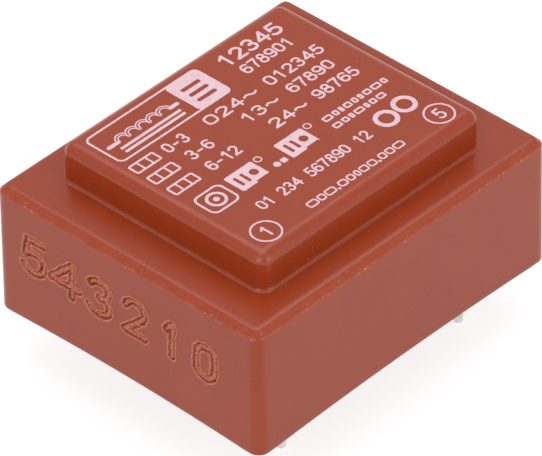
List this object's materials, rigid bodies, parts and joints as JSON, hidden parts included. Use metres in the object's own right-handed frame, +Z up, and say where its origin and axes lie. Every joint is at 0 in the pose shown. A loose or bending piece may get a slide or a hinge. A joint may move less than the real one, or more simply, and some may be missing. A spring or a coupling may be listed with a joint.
{
  "type": "encapsulated printed circuit board transformer",
  "caption": "Low, resin-filled transformer for a printed circuit board, in a stepped red-brown plastic case with round solder pins below.",
  "frame": {"origin": "centre of the pin grid, in the plane of the case's corner feet, where the board's face lies", "axes": "+X along the long side towards pin 5, +Y along the short side towards the secondary pins, +Z up out of the board through the raised top"},
  "size_m": [0.0322, 0.0274, 0.0196],
  "materials": {
    "case_plastic": "moulded red-brown plastic with a soft satin sheen",
    "potting_resin": "cast resin, smooth with a slight sheen",
    "bobbin_plastic": "moulded glass-filled plastic",
    "core_steel": "punched silicon steel sheet",
    "copper_wire": "enamelled copper wire",
    "winding_tape": "thin polyester tape",
    "tinned_pin": "tinned wire, satin",
    "solder": "solder, satin"
  },
  "bodies": {
    "root": {"case": "case_plastic", "potting_resin": "potting_resin", "bobbin": "bobbin_plastic", "primary_winding": "copper_wire", "secondary_winding_1": "copper_wire", "secondary_winding_2": "copper_wire", "primary_tape": "winding_tape", "secondary_tape": "winding_tape", "e_lamination_1": "core_steel", "i_lamination_1": "core_steel", "e_lamination_2": "core_steel", "i_lamination_2": "core_steel", "e_lamination_3": "core_steel", "i_lamination_3": "core_steel", "e_lamination_4": "core_steel", "i_lamination_4": "core_steel", "e_lamination_5": "core_steel", "i_lamination_5": "core_steel", "e_lamination_6": "core_steel", "i_lamination_6": "core_steel", "e_lamination_7": "core_steel", "i_lamination_7": "core_steel", "e_lamination_8": "core_steel", "i_lamination_8": "core_steel", "e_lamination_9": "core_steel", "i_lamination_9": "core_steel", "e_lamination_10": "core_steel", "i_lamination_10": "core_steel", "pin_1": "tinned_pin", "lead_wire_1": "copper_wire", "solder_joint_1": "solder", "pin_5": "tinned_pin", "lead_wire_5": "copper_wire", "solder_joint_5": "solder", "pin_6": "tinned_pin", "lead_wire_6": "copper_wire", "solder_joint_6": "solder", "pin_7": "tinned_pin", "lead_wire_7": "copper_wire", "solder_joint_7": "solder", "pin_9": "tinned_pin", "lead_wire_9": "copper_wire", "solder_joint_9": "solder", "pin_10": "tinned_pin", "lead_wire_10": "copper_wire", "solder_joint_10": "solder"}
  },
  "joints": []
}
